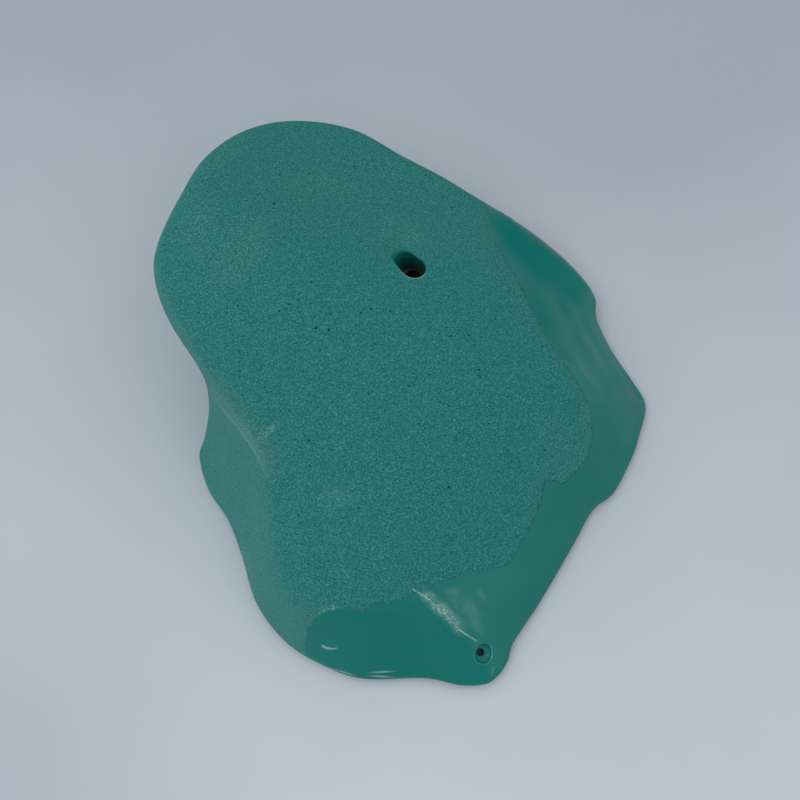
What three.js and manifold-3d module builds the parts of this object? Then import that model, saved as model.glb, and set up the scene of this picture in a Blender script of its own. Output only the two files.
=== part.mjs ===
import * as THREE from 'three';
import { mergeVertices } from 'three/addons/utils/BufferGeometryUtils.js';
import Module from 'manifold-3d';

const wasm = await Module();
wasm.setup();

// A climbing hold cast in polyurethane: one rough-faced, hollow-backed grip with a steel washer
// trapped under its bolt head and another in the hole of its small wood screw.
// The back of the grip lies on z = 0, the climber's side points along +Z.

// Driving dimensions, all in millimetres

// Grip: half its length along the wall, and how far its highest point stands off the wall
const halfLength = 188;
const gripDepth = 104;

// Hollow back: foot left round the edge, side wall, roof under the face
const rimWidth = 17;
const wallThickness = 13;
const roofThickness = 14;
const pocketFillet = 9;
const ribThickness = 10;
const ribRecess = 3;

// Main bolt: shank bore, counterbore of its socket head, washer and the seat's height off the wall
const shankBoreRadius = 5.6;
const headBoreRadius = 9.2;
const seatHeight = 58;
const washerRadius = 14;
const washerBoreRadius = 5.5;
const washerThickness = 2.5;
const columnRadius = 25;
const funnelLength = 14;
const funnelFlare = 4.5;

// Wood screw that stops the grip from turning: bore, recess of its head, washer
const screwBoreRadius = 3.1;
const screwRecessRadius = 6.6;
const screwRecessDepth = 5.5;
const screwWasherRadius = 6;
const screwWasherBoreRadius = 3.1;
const screwWasherThickness = 1.2;
const screwSurfaceHeight = 15.5;
const screwWasherSink = 2;

// Fits
const clearance = 0.3;
const overrun = 2;
const mergeTolerance = 0.0001;

// Places, as shares of the grip's half length along X and Y
const boltPlaceShare = new THREE.Vector2(0.045, 0.345);
const screwPlaceShare = new THREE.Vector2(0.272, -0.905);
const funnelLeanShare = new THREE.Vector2(-0.35, 0.28);

// Directions of the ribs behind the face, in degrees round the bolt
const ribDirections = [25, 100, 165, 235, 300];

// The face is three planes that blend into each other: level, slope along X, slope along Y.
// Level and slopes are shares of the depth, and the slopes are per half length.
const facePlaneShares = {
  upper: [0.905, -0.54, -0.43],
  left: [0.81, -0.035, 0.52],
  lower: [1.035, -0.71, 0.85],
};
const faceBlendShare = 0.048;

// Stations round the grip, counter-clockwise from +X. Each row holds
//   edge: x, y, z, the widest line of the grip, which is its thin foot where the sides run out flat
//   side: tuck of the back under the edge, then how far in and how high the flank passes
//   brow: x, y, softness, where the face turns over into the flank
// x, y and softness are shares of the half length, z is a share of the depth.
const stationShares = [
  { edge: [0.91, -0.03, 0.05], side: [0.01, 0.5, 0.4], brow: [0.645, -0.11, 0.06] },
  { edge: [0.87, 0.07, 0.05], side: [0.01, 0.5, 0.38], brow: [0.615, -0.07, 0.06] },
  { edge: [0.805, 0.18, 0.06], side: [0.01, 0.5, 0.45], brow: [0.58, -0.015, 0.05] },
  { edge: [0.755, 0.29, 0.08], side: [0.01, 0.5, 0.42], brow: [0.54, 0.04, 0.05] },
  { edge: [0.75, 0.35, 0.1], side: [0.01, 0.5, 0.36], brow: [0.51, 0.105, 0.05] },
  { edge: [0.72, 0.475, 0.14], side: [0.01, 0.45, 0.24], brow: [0.46, 0.23, 0.05] },
  { edge: [0.635, 0.575, 0.18], side: [0.01, 0.42, 0.12], brow: [0.42, 0.335, 0.05] },
  { edge: [0.515, 0.67, 0.22], side: [0.01, 0.38, 0.15], brow: [0.375, 0.46, 0.05] },
  { edge: [0.41, 0.715, 0.28], side: [0.02, 0.3, 0.5], brow: [0.34, 0.58, 0.06] },
  { edge: [0.285, 0.75, 0.38], side: [0.03, 0.2, 0.75], brow: [0.23, 0.63, 0.09] },
  { edge: [0.15, 0.805, 0.48], side: [0.05, 0.15, 0.85], brow: [0.11, 0.65, 0.12] },
  { edge: [0, 0.865, 0.55], side: [0.08, 0.12, 0.88], brow: [-0.03, 0.67, 0.16] },
  { edge: [-0.18, 0.96, 0.6], side: [0.12, 0.1, 0.9], brow: [-0.21, 0.7, 0.2] },
  { edge: [-0.375, 0.965, 0.62], side: [0.14, 0.1, 0.9], brow: [-0.4, 0.71, 0.22] },
  { edge: [-0.555, 0.895, 0.64], side: [0.15, 0.1, 0.9], brow: [-0.53, 0.67, 0.22] },
  { edge: [-0.68, 0.735, 0.66], side: [0.15, 0.1, 0.9], brow: [-0.61, 0.59, 0.22] },
  { edge: [-0.75, 0.548, 0.66], side: [0.14, 0.1, 0.9], brow: [-0.645, 0.46, 0.22] },
  { edge: [-0.822, 0.378, 0.66], side: [0.13, 0.1, 0.9], brow: [-0.665, 0.33, 0.22] },
  { edge: [-0.842, 0.28, 0.66], side: [0.1, 0.1, 0.9], brow: [-0.665, 0.22, 0.2] },
  { edge: [-0.785, 0.155, 0.62], side: [0.06, 0.12, 0.88], brow: [-0.645, 0.1, 0.16] },
  { edge: [-0.675, 0.01, 0.56], side: [0, 0.15, 0.85], brow: [-0.61, -0.03, 0.1] },
  { edge: [-0.675, -0.06, 0.38], side: [-0.05, 0.25, 0.65], brow: [-0.57, -0.13, 0.05] },
  { edge: [-0.71, -0.155, 0.12], side: [0.01, 0.45, 0.36], brow: [-0.52, -0.22, 0.035] },
  { edge: [-0.72, -0.23, 0.06], side: [0.01, 0.5, 0.34], brow: [-0.475, -0.29, 0.04] },
  { edge: [-0.685, -0.35, 0.05], side: [0.01, 0.5, 0.42], brow: [-0.43, -0.375, 0.08] },
  { edge: [-0.605, -0.46, 0.05], side: [0.01, 0.45, 0.5], brow: [-0.39, -0.455, 0.16] },
  { edge: [-0.545, -0.59, 0.05], side: [0.01, 0.4, 0.55], brow: [-0.365, -0.555, 0.16] },
  { edge: [-0.485, -0.75, 0.05], side: [0.01, 0.4, 0.6], brow: [-0.34, -0.665, 0.14] },
  { edge: [-0.375, -0.875, 0.05], side: [0.01, 0.45, 0.55], brow: [-0.29, -0.74, 0.08] },
  { edge: [-0.24, -0.95, 0.05], side: [0.01, 0.5, 0.5], brow: [-0.21, -0.77, 0.04] },
  { edge: [-0.115, -0.985, 0.05], side: [0.01, 0.5, 0.5], brow: [-0.11, -0.78, 0.03] },
  { edge: [0.08, -0.985, 0.05], side: [0.01, 0.5, 0.48], brow: [-0.02, -0.765, 0.03] },
  { edge: [0.2, -1.01, 0.05], side: [0.01, 0.5, 0.42], brow: [0.03, -0.755, 0.03] },
  { edge: [0.28, -1.005, 0.06], side: [0.01, 0.5, 0.48], brow: [0.055, -0.75, 0.03] },
  { edge: [0.325, -0.98, 0.07], side: [0.01, 0.5, 0.62], brow: [0.075, -0.735, 0.04] },
  { edge: [0.36, -0.935, 0.06], side: [0.01, 0.5, 0.64], brow: [0.11, -0.71, 0.06] },
  { edge: [0.385, -0.87, 0.06], side: [0.01, 0.45, 0.62], brow: [0.17, -0.67, 0.08] },
  { edge: [0.475, -0.735, 0.05], side: [0.01, 0.4, 0.6], brow: [0.3, -0.58, 0.08] },
  { edge: [0.6, -0.545, 0.05], side: [0.01, 0.4, 0.55], brow: [0.42, -0.48, 0.08] },
  { edge: [0.68, -0.42, 0.05], side: [0.01, 0.4, 0.55], brow: [0.5, -0.39, 0.08] },
  { edge: [0.76, -0.36, 0.05], side: [0.01, 0.45, 0.5], brow: [0.57, -0.33, 0.08] },
  { edge: [0.835, -0.23, 0.05], side: [0.01, 0.5, 0.42], brow: [0.63, -0.26, 0.07] },
  { edge: [0.87, -0.15, 0.05], side: [0.01, 0.5, 0.42], brow: [0.65, -0.2, 0.06] },
];

// How finely the surfaces are cut
const spokesPerStation = 3;
const faceRows = 10;
const browRows = 4;
const flankRows = 7;
const edgeRows = 3;
const backRows = 2;
const pocketSpokesPerStation = 2;
const pocketRows = 5;
const roundSegments = 40;

// Solids

function toSolid(geometry) {
  geometry.deleteAttribute('normal');
  geometry.deleteAttribute('uv');
  const merged = mergeVertices(geometry, mergeTolerance);
  const corners = merged.index.array;
  const kept = [];
  for (let i = 0; i < corners.length; i += 3) {
    const [a, b, c] = corners.slice(i, i + 3);
    if (a !== b && b !== c && c !== a) kept.push(a, b, c);
  }
  return new wasm.Manifold(new wasm.Mesh({
    numProp: 3,
    vertProperties: new Float32Array(merged.attributes.position.array),
    triVerts: new Uint32Array(kept),
  }));
}

function toGeometry(solid) {
  const mesh = solid.getMesh();
  const geometry = new THREE.BufferGeometry();
  geometry.setAttribute('position', new THREE.BufferAttribute(mesh.vertProperties, 3));
  geometry.setIndex(new THREE.BufferAttribute(mesh.triVerts, 1));
  geometry.computeVertexNormals();
  return geometry;
}

// A turned shape standing on a place in plan, its profile given as [radius, height] from the
// bottom of the axis outwards and up to the top of the axis, or closed on itself.
function turned(profile, place) {
  const points = profile.map(([radius, height]) => new THREE.Vector2(radius, height));
  const geometry = new THREE.LatheGeometry(points, roundSegments);
  geometry.rotateX(Math.PI / 2);
  geometry.translate(place.x, place.y, 0);
  return geometry;
}

// Closed rings of points, the first and the last ring each capped by a fan round its own middle
function skin(rings, firstMiddle, lastMiddle) {
  const count = rings[0].length;
  const positions = [];
  for (const ring of rings) {
    for (const point of ring) positions.push(point.x, point.y, point.z);
  }
  const firstIndex = positions.length / 3;
  positions.push(firstMiddle.x, firstMiddle.y, firstMiddle.z);
  positions.push(lastMiddle.x, lastMiddle.y, lastMiddle.z);
  const lastIndex = firstIndex + 1;
  const corners = [];
  for (let i = 0; i < count; i += 1) {
    const next = (i + 1) % count;
    corners.push(firstIndex, i, next);
    for (let r = 0; r + 1 < rings.length; r += 1) {
      const inner = r * count;
      const outer = inner + count;
      corners.push(inner + i, outer + i, outer + next);
      corners.push(inner + i, outer + next, inner + next);
    }
    const rim = (rings.length - 1) * count;
    corners.push(lastIndex, rim + next, rim + i);
  }
  const geometry = new THREE.BufferGeometry();
  geometry.setAttribute('position', new THREE.Float32BufferAttribute(positions, 3));
  geometry.setIndex(corners);
  return geometry;
}

// Face

function faceHeight(x, y) {
  const levels = Object.values(facePlaneShares).map(
    ([level, alongX, alongY]) => level + (alongX * x + alongY * y) / halfLength,
  );
  const lowest = Math.min(...levels);
  const sum = levels.reduce((total, level) => total + Math.exp((lowest - level) / faceBlendShare), 0);
  return gripDepth * (lowest - faceBlendShare * Math.log(sum));
}

function onFace(x, y, drop = 0) {
  return new THREE.Vector3(x, y, faceHeight(x, y) - drop);
}

// Stations, and smooth closed curves through them

function closedCurve(key) {
  const points = stationShares.map((station) => new THREE.Vector3(...station[key]));
  return new THREE.CatmullRomCurve3(points, true, 'catmullrom');
}

const edgeCurve = closedCurve('edge');
const sideCurve = closedCurve('side');
const browCurve = closedCurve('brow');

function spokeAt(turn) {
  const edgeShare = edgeCurve.getPoint(turn);
  const sideShare = sideCurve.getPoint(turn);
  const browShare = browCurve.getPoint(turn);
  const edge = new THREE.Vector3(
    edgeShare.x * halfLength, edgeShare.y * halfLength, edgeShare.z * gripDepth,
  );
  const brow = onFace(browShare.x * halfLength, browShare.y * halfLength);
  const flank = new THREE.Vector3().lerpVectors(edge, brow, sideShare.y);
  flank.z = THREE.MathUtils.lerp(edge.z, brow.z, sideShare.z);
  const back = new THREE.Vector3(edge.x * (1 - sideShare.x), edge.y * (1 - sideShare.x), 0);
  return { edge, brow, flank, back, softness: browShare.z * halfLength };
}

function towards(from, to, distance) {
  const step = new THREE.Vector3().subVectors(to, from).setLength(distance);
  return step.add(from);
}

function roundedCorner(start, corner, end, rows) {
  const curve = new THREE.QuadraticBezierCurve3(start, corner, end);
  return curve.getPoints(rows).slice(1);
}

// One line over the grip, from the middle of the face out to the foot at the back
function spokeLine({ edge, brow, flank, back, softness }) {
  const reach = Math.hypot(brow.x, brow.y);
  const inner = onFace(brow.x * (1 - softness / reach), brow.y * (1 - softness / reach));
  const points = [];
  for (let row = 1; row <= faceRows; row += 1) {
    const share = row / faceRows;
    points.push(onFace(inner.x * share, inner.y * share));
  }
  const upperLength = brow.distanceTo(flank);
  const lowerLength = flank.distanceTo(edge);
  const footLength = edge.distanceTo(back);
  const browCut = Math.min(softness, upperLength / 2);
  const edgeCut = Math.min(lowerLength / 2, footLength / 2);
  const flankStart = towards(brow, flank, browCut);
  const flankEnd = towards(edge, flank, edgeCut);
  const footStart = towards(edge, back, edgeCut);
  points.push(...roundedCorner(inner, brow, flankStart, browRows));
  points.push(...roundedCorner(flankStart, flank, flankEnd, flankRows));
  points.push(...roundedCorner(flankEnd, edge, footStart, edgeRows));
  for (let row = 1; row <= backRows; row += 1) {
    points.push(new THREE.Vector3().lerpVectors(footStart, back, row / backRows));
  }
  return points;
}

function ringsFrom(lines) {
  return lines[0].map((_, row) => lines.map((line) => line[row]));
}

function outerSkin() {
  const count = stationShares.length * spokesPerStation;
  const lines = [];
  for (let i = 0; i < count; i += 1) lines.push(spokeLine(spokeAt(i / count)));
  return skin(ringsFrom(lines), onFace(0, 0), new THREE.Vector3());
}

// Hollow back

function pocketLine({ brow, back }) {
  const browPlan = new THREE.Vector2(brow.x, brow.y);
  const backPlan = new THREE.Vector2(back.x, back.y);
  const middle = browPlan.clone().lerp(backPlan, 0.5);
  const foot = middle.setLength(Math.min(middle.length(), backPlan.length() - rimWidth));
  const top = browPlan.setLength(browPlan.length() - wallThickness);
  const inner = top.clone().setLength(top.length() - pocketFillet);
  const points = [];
  for (let row = 1; row <= pocketRows; row += 1) {
    const share = row / pocketRows;
    points.push(onFace(inner.x * share, inner.y * share, roofThickness));
  }
  const roofEnd = onFace(inner.x, inner.y, roofThickness);
  const shoulder = onFace(top.x, top.y, roofThickness);
  const footTop = new THREE.Vector3(foot.x, foot.y, 0);
  points.push(...roundedCorner(roofEnd, shoulder, towards(shoulder, footTop, pocketFillet), edgeRows));
  points.push(footTop, new THREE.Vector3(foot.x, foot.y, -overrun));
  return points;
}

function pocketSolid() {
  const count = stationShares.length * pocketSpokesPerStation;
  const lines = [];
  for (let i = 0; i < count; i += 1) lines.push(pocketLine(spokeAt(i / count)));
  const middle = new THREE.Vector3(0, 0, -overrun);
  return toSolid(skin(ringsFrom(lines), onFace(0, 0, roofThickness), middle));
}

const boltPlace = boltPlaceShare.clone().multiplyScalar(halfLength);
const screwPlace = screwPlaceShare.clone().multiplyScalar(halfLength);

function columnSolid() {
  return toSolid(turned([
    [0, -overrun * 2],
    [columnRadius, -overrun * 2],
    [columnRadius, gripDepth],
    [0, gripDepth],
  ], boltPlace));
}

function ribSolid(direction) {
  const length = halfLength * 2;
  const geometry = new THREE.BoxGeometry(length, ribThickness, gripDepth);
  geometry.translate(length / 2, 0, gripDepth / 2 + ribRecess);
  geometry.rotateZ(THREE.MathUtils.degToRad(direction));
  geometry.translate(boltPlace.x, boltPlace.y, 0);
  return toSolid(geometry);
}

// Bolt hole and its washer

const washerTop = seatHeight;
const washerBottom = washerTop - washerThickness;

function boltHoleCutter() {
  const pocketRadius = washerRadius + clearance;
  const top = gripDepth + overrun;
  return toSolid(turned([
    [0, -overrun],
    [shankBoreRadius, -overrun],
    [shankBoreRadius, washerBottom - clearance],
    [pocketRadius, washerBottom - clearance],
    [pocketRadius, washerTop + clearance],
    [headBoreRadius, washerTop + clearance],
    [headBoreRadius, top],
    [0, top],
  ], boltPlace));
}

// The mouth of the bolt hole is eased on its uphill side only
function funnelCutter() {
  const mouth = faceHeight(boltPlace.x, boltPlace.y);
  const lean = funnelLeanShare.clone().multiplyScalar(headBoreRadius);
  const place = boltPlace.clone().add(lean);
  return toSolid(turned([
    [0, mouth - funnelLength],
    [headBoreRadius - funnelFlare, mouth - funnelLength],
    [headBoreRadius, mouth],
    [headBoreRadius + funnelFlare, mouth + funnelLength],
    [0, mouth + funnelLength],
  ], place));
}

function washerGeometry(outerRadius, innerRadius, bottom, thickness, place) {
  return turned([
    [innerRadius, bottom],
    [outerRadius, bottom],
    [outerRadius, bottom + thickness],
    [innerRadius, bottom + thickness],
    [innerRadius, bottom],
  ], place);
}

// Screw hole and its washer

const screwSeat = screwSurfaceHeight - screwRecessDepth;
const screwWasherTop = screwSeat - screwWasherSink;
const screwWasherBottom = screwWasherTop - screwWasherThickness;

function screwHoleCutter() {
  const pocketRadius = screwWasherRadius + clearance;
  const top = gripDepth + overrun;
  return toSolid(turned([
    [0, -overrun],
    [screwBoreRadius + clearance, -overrun],
    [screwBoreRadius + clearance, screwWasherBottom - clearance],
    [pocketRadius, screwWasherBottom - clearance],
    [pocketRadius, screwWasherTop + clearance],
    [screwBoreRadius + clearance, screwWasherTop + clearance],
    [screwBoreRadius + clearance, screwSeat],
    [screwRecessRadius, screwSeat],
    [screwRecessRadius, top],
    [0, top],
  ], screwPlace));
}

function gripBody() {
  let pocket = pocketSolid().subtract(columnSolid());
  for (const direction of ribDirections) pocket = pocket.subtract(ribSolid(direction));
  const body = toSolid(outerSkin())
    .subtract(pocket)
    .subtract(boltHoleCutter())
    .subtract(funnelCutter())
    .subtract(screwHoleCutter());
  return toGeometry(body);
}

// Assembly

const polyurethane = { color: '#2b8076', roughness: 0.62, metalness: 0 };
const zincSteel = { color: '#b7babb', roughness: 0.38, metalness: 1 };
const screwSteel = { color: '#c4c6c4', roughness: 0.42, metalness: 1 };

function piece(name, geometry, finish) {
  const mesh = new THREE.Mesh(geometry, new THREE.MeshStandardMaterial(finish));
  mesh.name = name;
  return mesh;
}

const body = gripBody();
const group = new THREE.Group();
group.add(piece('grip_body', body, polyurethane));
group.add(piece(
  'bolt_washer',
  washerGeometry(washerRadius, washerBoreRadius, washerBottom, washerThickness, boltPlace),
  zincSteel,
));
group.add(piece(
  'screw_washer',
  washerGeometry(
    screwWasherRadius, screwWasherBoreRadius, screwWasherBottom, screwWasherThickness, screwPlace,
  ),
  screwSteel,
));

// The frame's origin is the middle of the grip's footprint, on the wall
body.computeBoundingBox();
const middle = body.boundingBox.getCenter(new THREE.Vector3());
group.position.set(-middle.x, -middle.y, 0);

export default group;
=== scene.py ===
"""A freeform climbing hold cast in teal polyurethane: rough face, glossy flanks, hollow back."""
import math

import bmesh
import bpy
import numpy as np
from mathutils import Matrix, Vector, noise


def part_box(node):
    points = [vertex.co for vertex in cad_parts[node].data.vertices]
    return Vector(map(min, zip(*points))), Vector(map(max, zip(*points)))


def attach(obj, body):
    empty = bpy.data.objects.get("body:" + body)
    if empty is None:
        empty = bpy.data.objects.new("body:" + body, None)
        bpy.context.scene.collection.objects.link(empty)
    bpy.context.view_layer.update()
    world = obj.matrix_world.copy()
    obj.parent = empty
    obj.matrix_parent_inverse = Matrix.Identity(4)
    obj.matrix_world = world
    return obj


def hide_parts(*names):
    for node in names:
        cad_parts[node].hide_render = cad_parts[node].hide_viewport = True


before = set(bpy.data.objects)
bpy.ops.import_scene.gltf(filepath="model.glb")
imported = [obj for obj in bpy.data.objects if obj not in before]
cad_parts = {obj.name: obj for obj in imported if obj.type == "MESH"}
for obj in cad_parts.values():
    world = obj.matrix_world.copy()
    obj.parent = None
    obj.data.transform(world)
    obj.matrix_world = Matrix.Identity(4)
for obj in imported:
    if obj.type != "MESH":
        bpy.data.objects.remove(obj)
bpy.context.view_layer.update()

# Places nearer than TOUCH are one place, and cutters pass the casting by OVERRUN
MM = 0.001
UPRIGHT = Vector((0, 0, 1))
TOUCH = 0.01 * MM
OVERRUN = 6 * MM

# Camera: the photograph's viewing angle, in the frame's own axes
CAMERA_TARGET = Vector((-6.5, 4.0, 0)) * MM
CAMERA_ELEVATION = math.radians(70)
CAMERA_DISTANCE = 560 * MM
CAMERA_LENS = 36
CAMERA_SENSOR = 36

# Grip: its size, and its shape as shares of the half length and the depth
HALF_LENGTH = 188 * MM
GRIP_DEPTH = 104 * MM
FACE_PLANE_SHARES = np.array((
    (0.905, -0.54, -0.43),
    (0.81, -0.035, 0.52),
    (1.035, -0.71, 0.85),
))
FACE_BLEND_SHARE = 0.048

# Stations round the grip, counter-clockwise from +X: the widest line's x, y, z, then the tuck of
# the back and how far in and how high the flank passes, then the brow's x, y and softness
STATION_SHARES = np.array((
    ((0.909, -0.03, 0.05), (0.01, 0.5, 0.4), (0.645, -0.11, 0.06)),
    ((0.87, 0.07, 0.05), (0.01, 0.5, 0.38), (0.615, -0.07, 0.06)),
    ((0.807, 0.18, 0.06), (0.01, 0.5, 0.45), (0.58, -0.015, 0.05)),
    ((0.758, 0.291, 0.08), (0.01, 0.5, 0.42), (0.54, 0.04, 0.05)),
    ((0.75, 0.348, 0.09), (0.01, 0.5, 0.38), (0.515, 0.09, 0.05)),
    ((0.751, 0.396, 0.11), (0.01, 0.5, 0.37), (0.495, 0.14, 0.05)),
    ((0.714, 0.47, 0.14), (0.01, 0.52, 0.36), (0.455, 0.23, 0.05)),
    ((0.629, 0.57, 0.18), (0.01, 0.66, 0.52), (0.4, 0.333, 0.05)),
    ((0.51, 0.663, 0.22), (0.01, 0.55, 0.46), (0.34, 0.45, 0.05)),
    ((0.412, 0.719, 0.26), (0.02, 0.4, 0.4), (0.29, 0.57, 0.06)),
    ((0.281, 0.741, 0.38), (0.03, 0.2, 0.75), (0.23, 0.63, 0.09)),
    ((0.149, 0.8, 0.48), (0.05, 0.15, 0.85), (0.11, 0.65, 0.12)),
    ((0, 0.861, 0.55), (0.08, 0.12, 0.88), (-0.03, 0.67, 0.16)),
    ((-0.178, 0.947, 0.6), (0.12, 0.1, 0.9), (-0.21, 0.7, 0.2)),
    ((-0.372, 0.956, 0.62), (0.14, 0.1, 0.9), (-0.4, 0.71, 0.22)),
    ((-0.547, 0.882, 0.64), (0.15, 0.1, 0.9), (-0.53, 0.67, 0.22)),
    ((-0.678, 0.732, 0.66), (0.15, 0.1, 0.9), (-0.61, 0.59, 0.22)),
    ((-0.753, 0.55, 0.66), (0.14, 0.1, 0.9), (-0.645, 0.46, 0.22)),
    ((-0.817, 0.386, 0.66), (0.13, 0.1, 0.9), (-0.655, 0.33, 0.22)),
    ((-0.827, 0.281, 0.66), (0.1, 0.1, 0.9), (-0.655, 0.22, 0.2)),
    ((-0.783, 0.155, 0.62), (0.06, 0.12, 0.88), (-0.645, 0.1, 0.16)),
    ((-0.682, 0.011, 0.56), (0, 0.15, 0.85), (-0.61, -0.03, 0.1)),
    ((-0.659, -0.06, 0.38), (-0.05, 0.25, 0.65), (-0.57, -0.13, 0.05)),
    ((-0.703, -0.153, 0.12), (0.01, 0.45, 0.36), (-0.52, -0.22, 0.035)),
    ((-0.723, -0.231, 0.06), (0.01, 0.5, 0.34), (-0.475, -0.29, 0.04)),
    ((-0.681, -0.349, 0.05), (0.01, 0.5, 0.42), (-0.43, -0.375, 0.08)),
    ((-0.603, -0.459, 0.05), (0.01, 0.45, 0.5), (-0.39, -0.455, 0.16)),
    ((-0.544, -0.588, 0.05), (0.01, 0.4, 0.55), (-0.365, -0.555, 0.16)),
    ((-0.483, -0.747, 0.05), (0.01, 0.4, 0.6), (-0.34, -0.665, 0.14)),
    ((-0.375, -0.874, 0.05), (0.01, 0.45, 0.55), (-0.29, -0.74, 0.08)),
    ((-0.24, -0.949, 0.05), (0.01, 0.5, 0.5), (-0.21, -0.77, 0.04)),
    ((-0.115, -0.985, 0.05), (0.01, 0.5, 0.5), (-0.11, -0.78, 0.03)),
    ((0.08, -0.983, 0.05), (0.01, 0.5, 0.48), (-0.02, -0.765, 0.03)),
    ((0.199, -1.005, 0.05), (0.01, 0.5, 0.42), (0.03, -0.755, 0.03)),
    ((0.279, -1.002, 0.06), (0.01, 0.5, 0.48), (0.055, -0.75, 0.03)),
    ((0.323, -0.976, 0.07), (0.01, 0.5, 0.62), (0.075, -0.735, 0.04)),
    ((0.358, -0.929, 0.06), (0.01, 0.5, 0.64), (0.11, -0.71, 0.06)),
    ((0.383, -0.865, 0.06), (0.01, 0.45, 0.62), (0.17, -0.67, 0.08)),
    ((0.476, -0.738, 0.05), (0.01, 0.4, 0.6), (0.3, -0.58, 0.08)),
    ((0.602, -0.547, 0.05), (0.01, 0.4, 0.55), (0.42, -0.48, 0.08)),
    ((0.682, -0.422, 0.05), (0.01, 0.4, 0.55), (0.5, -0.39, 0.08)),
    ((0.761, -0.36, 0.05), (0.01, 0.45, 0.5), (0.57, -0.33, 0.08)),
    ((0.838, -0.231, 0.05), (0.01, 0.5, 0.42), (0.63, -0.26, 0.07)),
    ((0.872, -0.15, 0.05), (0.01, 0.5, 0.42), (0.65, -0.2, 0.06)),
))

# Holes
BOLT_PLACE_SHARE = Vector((0.045, 0.345))
SHANK_BORE_RADIUS = 5.6 * MM
HEAD_BORE_RADIUS = 7.7 * MM
WASHER_CLEARANCE = 0.3 * MM
SCREW_BORE_RADIUS = 2.4 * MM
SCREW_BORE_LEAN = Vector((-1.8, 1)) * MM

# Where the head bore's cutter ends, over the face: two circles side by side, each with its lean
# away from the bore and its radius; the bore opens towards them, so its mouth is oblong
MOUTH_RISE = 12 * MM
MOUTH_CIRCLES = ((Vector((0, -4.8)) * MM, 8.8 * MM), (Vector((-10.9, 6.7)) * MM, 6.6 * MM))

# Shallow recess round the screw: its middle on the skin, the skin's slope there, the depth and
# radius of its rings, and how far it is drawn out to the front and back
RECESS_CENTRE_SHIFT = Vector((-0.2, -0.1)) * MM
RECESS_HEIGHT = 15.9 * MM
RECESS_AXIS = Vector((0.25, -0.33, 0.91))
RECESS_RINGS = ((3.2 * MM, 3.2 * MM), (1.9 * MM, 4.9 * MM), (-6 * MM, 7.1 * MM))
RECESS_RADIUS = 5.8 * MM
RECESS_STRETCH = 0.9 * MM

# Where the rough texture of the face ends and the glossy flank begins, seen square to the wall, in
# millimetres
TEXTURE_EDGE = np.array((
    (50, 165), (53.6, 130), (58.3, 103.2), (69.6, 74.9), (82.6, 38.5), (93.6, 13.9), (103.8, -1.2),
    (111.2, -11.4), (115.5, -22), (116.6, -34.5), (113.5, -45.8), (105.9, -56.1), (97, -64.5),
    (92, -63.5), (84, -64.2), (82.2, -74.6), (79, -82.3), (73.2, -94.3), (60.7, -114.4),
    (39.7, -119.9), (22.4, -123.9), (12.6, -129.9), (4.8, -131.8), (-1.2, -133.7), (-8.9, -138.3),
    (-20.7, -139.1), (-29, -144.6), (-35.4, -142), (-45.4, -140.9), (-53.9, -144), (-62, -152.8),
    (-65.3, -166.4), (-66, -190), (-400, -190), (-400, 400), (50, 400),
))

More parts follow.
